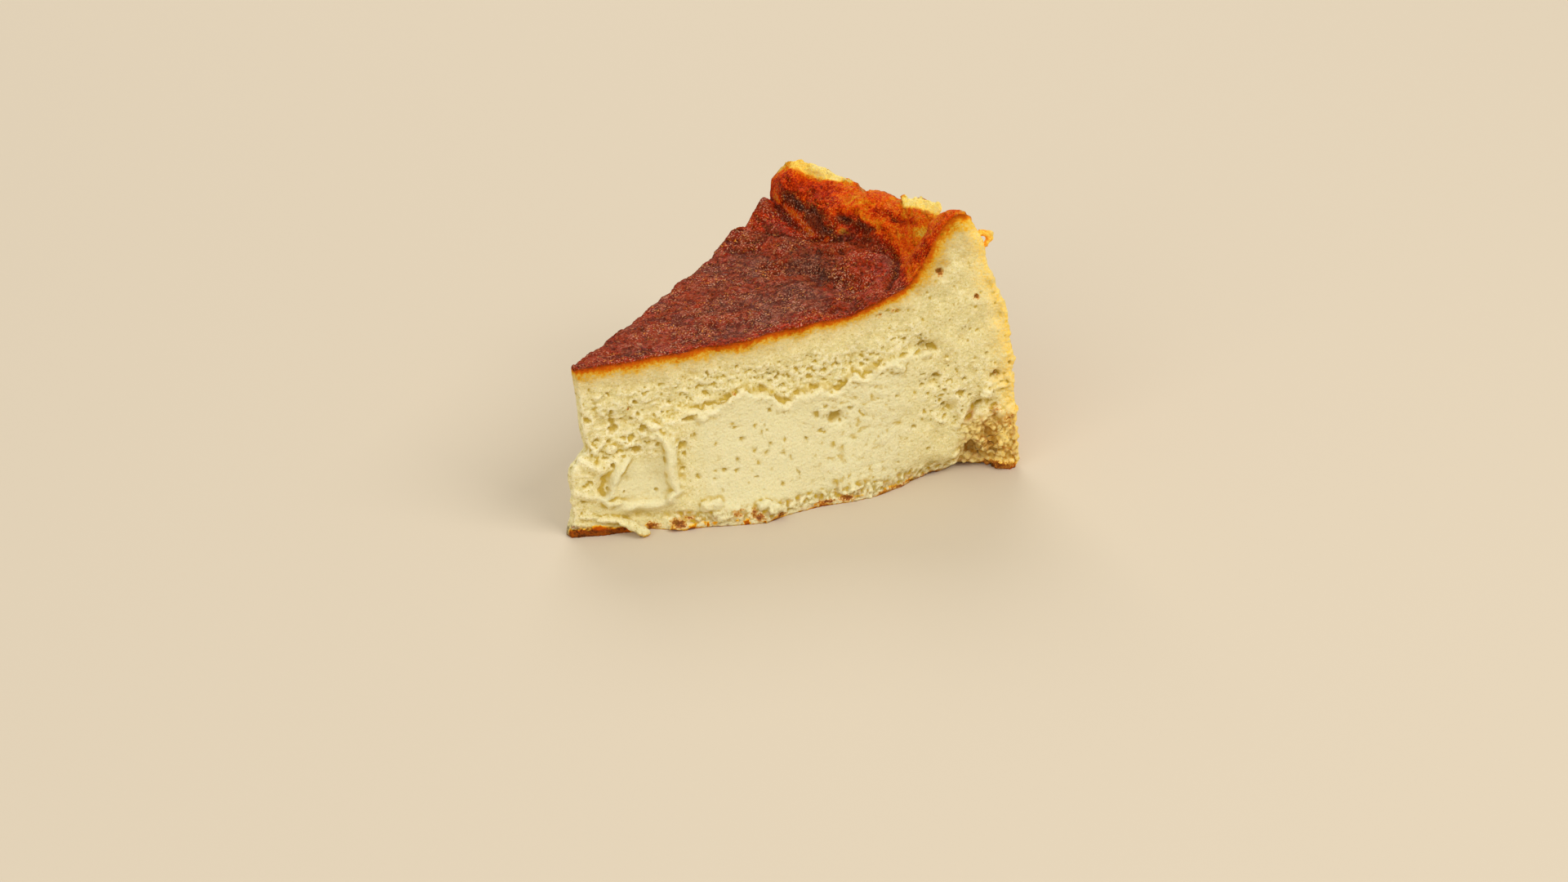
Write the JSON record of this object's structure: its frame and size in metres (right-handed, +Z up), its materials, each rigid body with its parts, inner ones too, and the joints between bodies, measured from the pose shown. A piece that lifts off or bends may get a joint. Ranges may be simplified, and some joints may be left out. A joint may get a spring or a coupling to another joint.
{
  "type": "basque burnt cheesecake slice",
  "caption": "Wedge slice of a burnt-top baked cheesecake with a dark sunken top, a puffed rim and cut custard faces, resting on its base",
  "frame": {"origin": "middle of the slice's box in plan, on the base, at the level of the table", "axes": "+X from the tip towards the rim, +Y towards the back cut face, +Z up from the base"},
  "size_m": [0.1042, 0.0764, 0.0637],
  "materials": {
    "baked_custard": "soft baked custard, pale yellow and porous where cut, with a dark caramelised top and a golden wall"
  },
  "bodies": {
    "root": {"cheesecake_slice": "baked_custard"}
  },
  "joints": []
}
